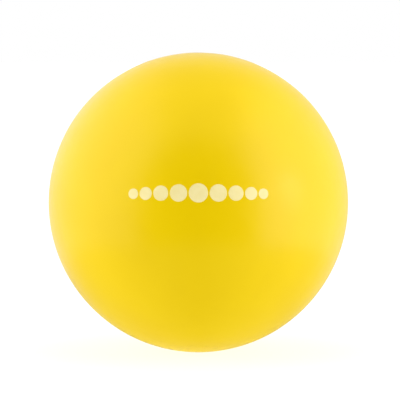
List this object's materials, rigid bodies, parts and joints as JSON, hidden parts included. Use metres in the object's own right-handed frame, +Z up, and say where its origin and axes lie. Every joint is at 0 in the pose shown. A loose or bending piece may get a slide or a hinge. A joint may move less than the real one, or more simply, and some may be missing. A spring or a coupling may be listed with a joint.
{
  "type": "playground ball",
  "caption": "Moulded vinyl play ball, with a flush valve seat in its thick boss and a ribbed stopper plug that pulls out for inflating.",
  "frame": {"origin": "the ball's centre", "axes": "+Z up with the ball at rest on its contact patch, +Y outwards along the valve axis, -Y out of the printed front, X to the right of someone who looks at the front"},
  "size_m": [0.216, 0.2159, 0.2156],
  "materials": {
    "skin": "satin",
    "seat": "satin",
    "plug": "satin",
    "print": "satin"
  },
  "bodies": {
    "ball": {"ball_skin": "skin", "valve_seat": "seat"},
    "plug": {"valve_plug": "plug"}
  },
  "joints": [
    {"name": "plug_pull", "type": "slide", "parent": "ball", "child": "plug", "axis": [0, 1, 0], "range_m": [0, 0.02]}
  ]
}
